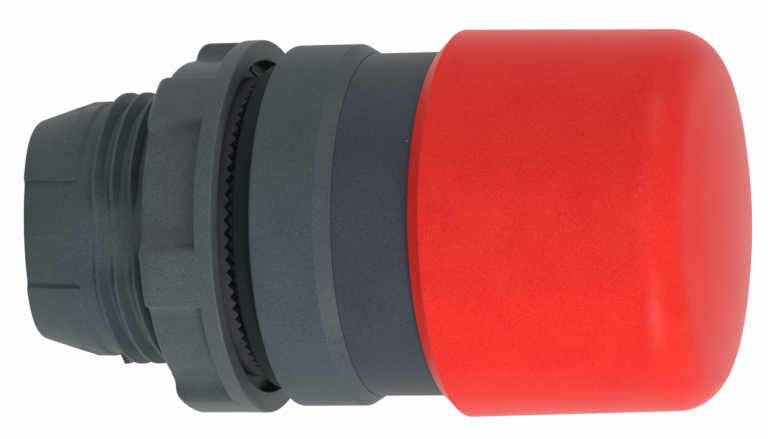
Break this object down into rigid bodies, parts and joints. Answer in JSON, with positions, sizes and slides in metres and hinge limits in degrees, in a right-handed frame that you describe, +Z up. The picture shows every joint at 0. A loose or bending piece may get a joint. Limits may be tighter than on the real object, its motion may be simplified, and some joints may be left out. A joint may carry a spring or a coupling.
{
  "type": "emergency stop button",
  "caption": "Panel-mount emergency stop head: a red mushroom that latches when pushed in and springs out when turned, with a threaded body, gasket and castellated nut.",
  "frame": {"origin": "on the button's axis, in the plane where the gasket's bead meets the front of the panel", "axes": "+X along the axis, out of the panel towards the operator; +Z up, through the anti-rotation key"},
  "size_m": [0.0573, 0.0308, 0.0308],
  "materials": {
    "body_plastic": "fine-grained moulded black plastic",
    "sleeve_plastic": "satin moulded black plastic",
    "nut_plastic": "fine-grained moulded dark grey plastic",
    "grip_plastic": "moulded grey plastic",
    "cap_plastic": "satin moulded red plastic",
    "gasket_rubber": "moulded black rubber",
    "seal_rubber": "moulded black rubber",
    "inner_plastic": "natural moulded plastic",
    "rod_steel": "turned steel",
    "spring_steel": "drawn spring steel"
  },
  "bodies": {
    "housing": {"bezel_body": "body_plastic", "collar_sleeve": "sleeve_plastic", "sleeve_o_ring": "seal_rubber", "panel_gasket": "gasket_rubber", "spindle_seal": "seal_rubber", "cage_snap_ring": "spring_steel", "latch_cage": "inner_plastic", "latch_spring": "spring_steel", "return_spring": "spring_steel", "torsion_spring": "spring_steel", "rear_guide": "inner_plastic"},
    "plunger": {"pusher": "inner_plastic", "thrust_washer": "spring_steel"},
    "head": {"mushroom_cap": "cap_plastic", "cap_hub": "inner_plastic", "cap_snap_ring": "spring_steel", "cap_screw": "rod_steel", "spring_washer": "spring_steel", "spindle": "rod_steel", "cam_bush": "inner_plastic", "cam_pin": "rod_steel", "spindle_clip": "spring_steel"},
    "grip": {"grip_washer": "grip_plastic"},
    "nut": {"fixing_nut": "nut_plastic"}
  },
  "joints": [
    {"name": "head_press", "type": "slide", "parent": "housing", "child": "plunger", "axis": [-1, 0, 0], "range_m": [0, 0.0045], "stiffness_N_per_m": 400, "springref_m": -0.01, "deforming": ["return_spring", "latch_spring"]},
    {"name": "head_turn", "type": "hinge", "parent": "plunger", "child": "head", "pos_m": [0, 0, 0], "axis": [-1, 0, 0], "range_deg": [0, 45], "stiffness_Nm_per_rad": 0.05, "springref_deg": -17.19, "deforming": ["torsion_spring"]},
    {"name": "nut_advance", "type": "slide", "parent": "housing", "child": "grip", "axis": [-1, 0, 0], "range_m": [0, 0.0135]},
    {"name": "nut_turn", "type": "hinge", "parent": "grip", "child": "nut", "pos_m": [0, 0, 0], "axis": [-1, 0, 0], "range_deg": [0, 3240.5]}
  ],
  "couplings": [
    {"joint": "nut_turn", "follows": "nut_advance", "rad_per_m": 4188.8}
  ]
}
